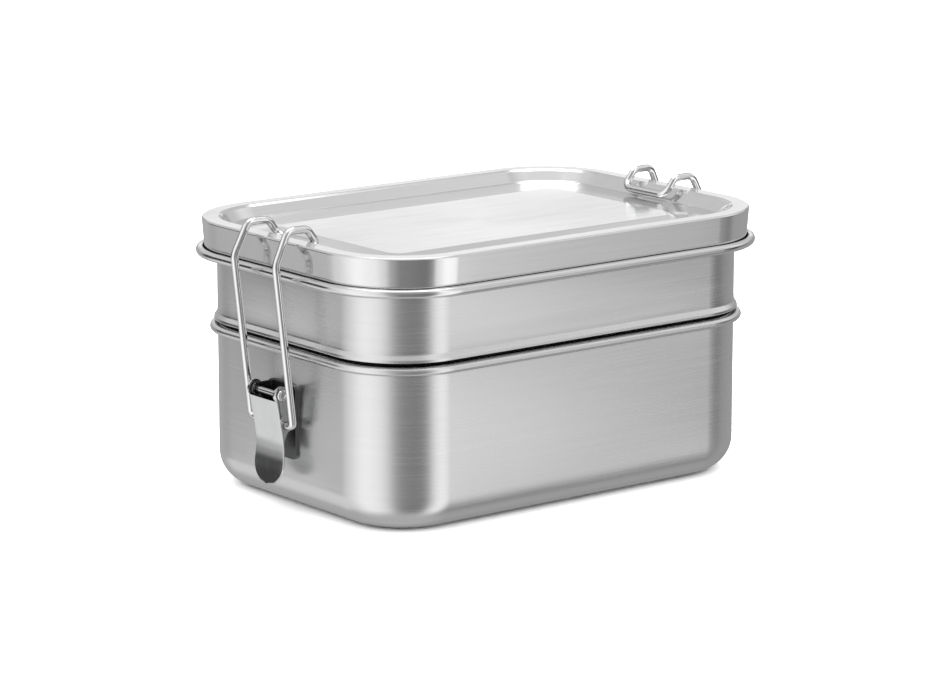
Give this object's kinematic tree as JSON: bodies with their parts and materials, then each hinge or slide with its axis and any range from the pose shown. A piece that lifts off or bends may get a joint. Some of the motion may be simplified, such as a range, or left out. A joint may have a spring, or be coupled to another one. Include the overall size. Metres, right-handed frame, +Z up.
{
  "type": "lunch box",
  "caption": "Rectangular stainless steel lunch box with a lower box, a stacking upper tray and a recessed lid, held shut by a wire-bail toggle latch on each short end.",
  "frame": {"origin": "centre of the flat underside of the lower box", "axes": "+X along the long side towards the right latch, +Y towards the far long side, +Z up through the lid"},
  "size_m": [0.1904, 0.1294, 0.0992],
  "materials": {
    "box_steel": "satin, brushed along the wall",
    "tray_steel": "satin, brushed along the wall",
    "lid_steel": "satin, brushed along the length",
    "seal_silicone": "soft translucent silicone",
    "bracket_steel": "smooth pressed sheet",
    "pin_steel": "bright",
    "lever_chrome": "polished",
    "wire_chrome": "polished round wire"
  },
  "bodies": {
    "base": {"lower_box": "box_steel", "upper_tray": "tray_steel", "lid": "lid_steel", "lid_seal": "seal_silicone", "latch_bracket_left": "bracket_steel", "latch_bracket_right": "bracket_steel", "pivot_pin_left": "pin_steel", "pivot_pin_right": "pin_steel"},
    "latch_lever_left": {"lever_left": "lever_chrome"},
    "latch_lever_right": {"lever_right": "lever_chrome"},
    "latch_bail_left": {"bail_left": "wire_chrome"},
    "latch_bail_right": {"bail_right": "wire_chrome"}
  },
  "joints": [
    {"name": "lever_left_turn", "type": "hinge", "parent": "base", "child": "latch_lever_left", "pos_m": [-0.0893, 0, 0.0418], "axis": [0, 1, 0], "range_deg": [0, 110]},
    {"name": "bail_left_swing", "type": "hinge", "parent": "latch_lever_left", "child": "latch_bail_left", "pos_m": [-0.0876, 0, 0.0312], "axis": [0, -1, 0], "range_deg": [0, 93.5]},
    {"name": "lever_right_turn", "type": "hinge", "parent": "base", "child": "latch_lever_right", "pos_m": [0.0893, 0, 0.0418], "axis": [0, -1, 0], "range_deg": [0, 110]},
    {"name": "bail_right_swing", "type": "hinge", "parent": "latch_lever_right", "child": "latch_bail_right", "pos_m": [0.0876, 0, 0.0312], "axis": [0, 1, 0], "range_deg": [0, 93.5]}
  ],
  "couplings": [
    {"joint": "bail_left_swing", "follows": "lever_left_turn", "ratio": 0.85},
    {"joint": "bail_right_swing", "follows": "lever_right_turn", "ratio": 0.85}
  ]
}
